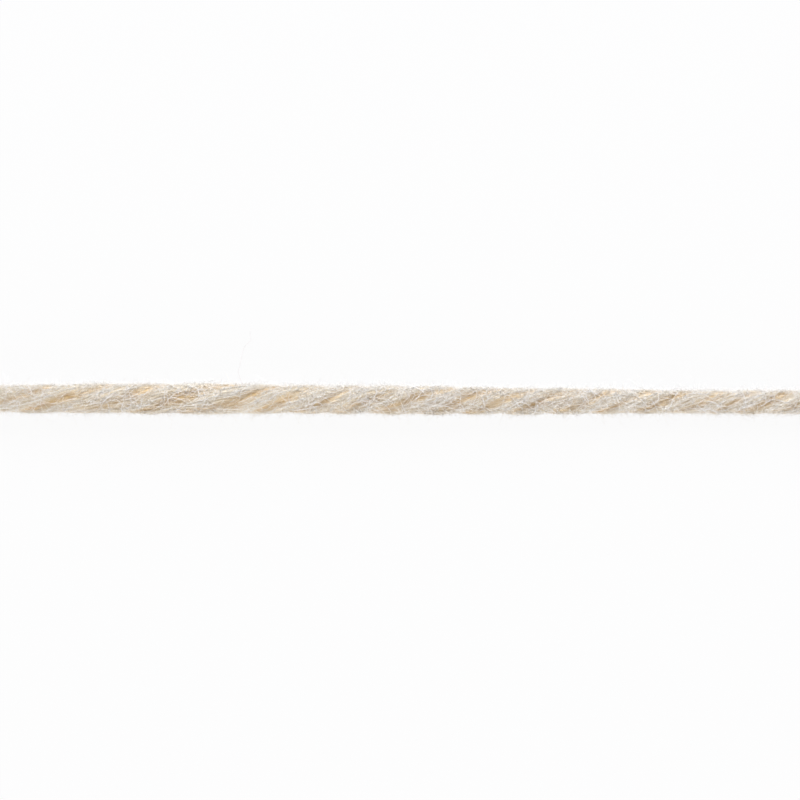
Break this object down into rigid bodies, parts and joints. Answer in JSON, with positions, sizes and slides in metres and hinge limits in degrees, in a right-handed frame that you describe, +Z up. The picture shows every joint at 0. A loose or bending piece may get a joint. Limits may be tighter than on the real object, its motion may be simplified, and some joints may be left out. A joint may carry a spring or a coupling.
{
  "type": "cotton yarn",
  "caption": "Straight cut length of soft, thick cream cotton yarn, its plies wound round each other in a Z twist, lying on a surface.",
  "frame": {"origin": "on the surface it lies on, under the middle of the cut length", "axes": "+X along the yarn, +Y across it on the surface, +Z up from the surface"},
  "size_m": [0.1, 0.0034, 0.0032],
  "materials": {
    "cotton": "matt, fuzzy, undyed"
  },
  "bodies": {
    "root": {"yarn_strand": "cotton"}
  },
  "joints": []
}
